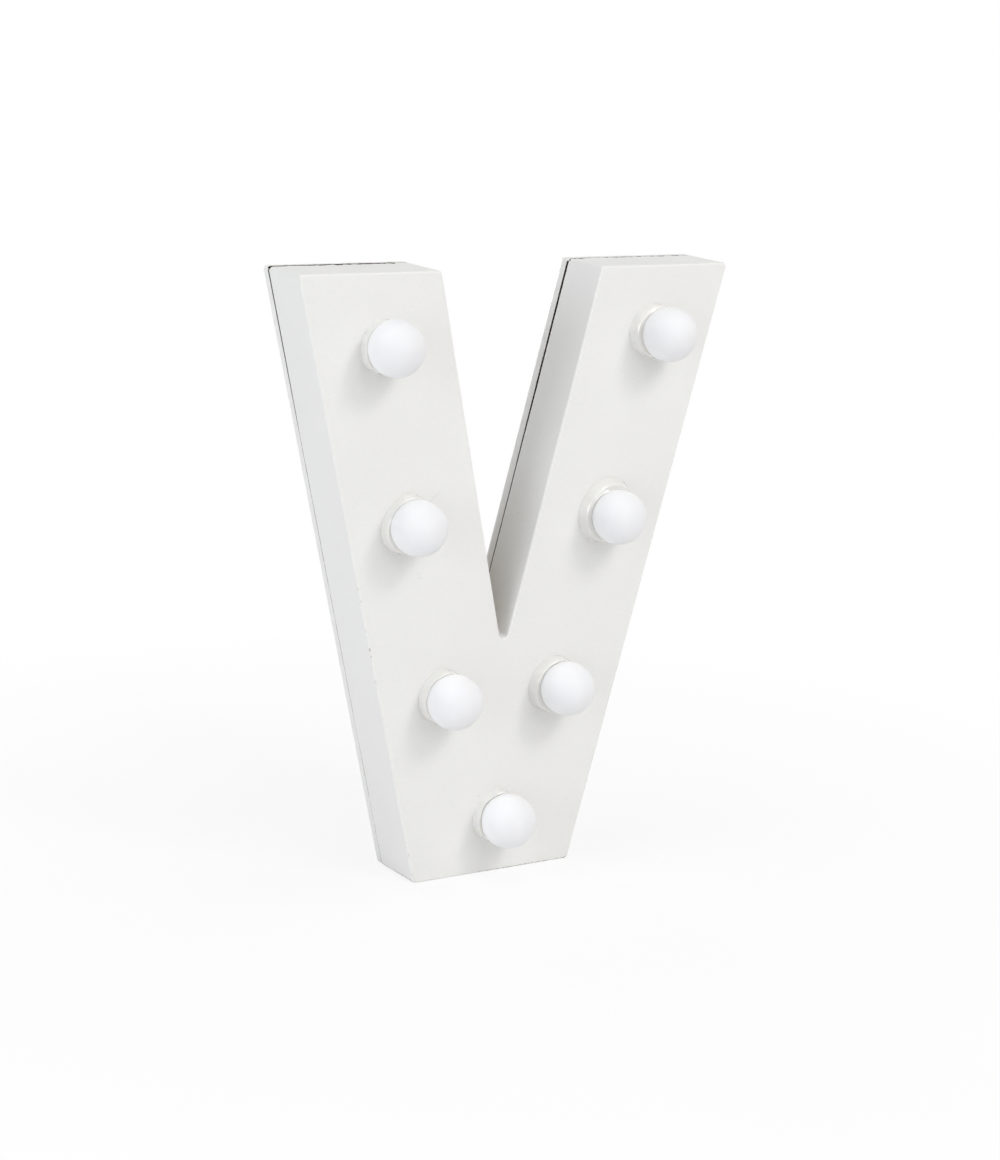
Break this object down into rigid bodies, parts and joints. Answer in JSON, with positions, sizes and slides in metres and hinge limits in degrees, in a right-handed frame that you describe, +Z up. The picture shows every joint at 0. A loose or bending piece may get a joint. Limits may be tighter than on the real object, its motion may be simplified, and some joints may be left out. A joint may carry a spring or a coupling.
{
  "type": "light-up letter",
  "caption": "Freestanding painted V-shaped light-up letter with frosted ball lamps in collars, a back panel with battery box, hinged door and slide switch, and keyholes for hanging.",
  "frame": {"origin": "middle of the foot on the ground, half-way through the letter's depth", "axes": "+X to the right seen from the front, +Y from the lamps' face to the back panel, +Z up the letter"},
  "size_m": [0.1324, 0.0337, 0.165],
  "materials": {
    "white_paint": "satin white paint",
    "cream_plastic": "gloss",
    "frosted_plastic": "frosted",
    "clear_lens": "gloss",
    "tinned_lead": "tinned",
    "red_wire": "satin",
    "black_wire": "satin",
    "black_plastic": "fine grain",
    "knob_plastic": "satin",
    "cell_sleeve": "gloss",
    "plated_steel": "plated",
    "brass_contact": "bright",
    "screw_steel": "zinc plated"
  },
  "bodies": {
    "letter": {"front_body": "white_paint", "back_panel": "white_paint", "collar_left_top": "cream_plastic", "collar_left_mid": "cream_plastic", "collar_left_low": "cream_plastic", "collar_foot": "cream_plastic", "collar_right_low": "cream_plastic", "collar_right_mid": "cream_plastic", "collar_right_top": "cream_plastic", "globe_left_top": "frosted_plastic", "globe_left_mid": "frosted_plastic", "globe_left_low": "frosted_plastic", "globe_foot": "frosted_plastic", "globe_right_low": "frosted_plastic", "globe_right_mid": "frosted_plastic", "globe_right_top": "frosted_plastic", "led_left_top": "clear_lens", "led_left_mid": "clear_lens", "led_left_low": "clear_lens", "led_foot": "clear_lens", "led_right_low": "clear_lens", "led_right_mid": "clear_lens", "led_right_top": "clear_lens", "led_leads": "tinned_lead", "wire_positive": "red_wire", "wire_negative": "black_wire", "wire_feed": "red_wire", "wire_switched": "red_wire", "wire_return": "black_wire", "battery_box": "black_plastic", "cell_upper": "cell_sleeve", "cell_lower": "cell_sleeve", "contact_positive": "plated_steel", "contact_negative": "plated_steel", "contact_link": "plated_steel", "spring_upper": "plated_steel", "spring_lower": "plated_steel", "switch_frame": "plated_steel", "switch_housing": "black_plastic", "switch_terminals": "brass_contact", "panel_screws": "screw_steel", "box_screws": "screw_steel", "switch_screws": "screw_steel"},
    "door": {"battery_door": "black_plastic"},
    "switch": {"switch_knob": "knob_plastic", "switch_wiper": "brass_contact"}
  },
  "joints": [
    {"name": "door_hinge", "type": "hinge", "parent": "letter", "child": "door", "pos_m": [0, 0.00863, 0.0442], "axis": [1, 0, 0], "range_deg": [0, 100]},
    {"name": "switch_slide", "type": "slide", "parent": "letter", "child": "switch", "axis": [1, 0, 0], "range_m": [0, 0.003]}
  ]
}
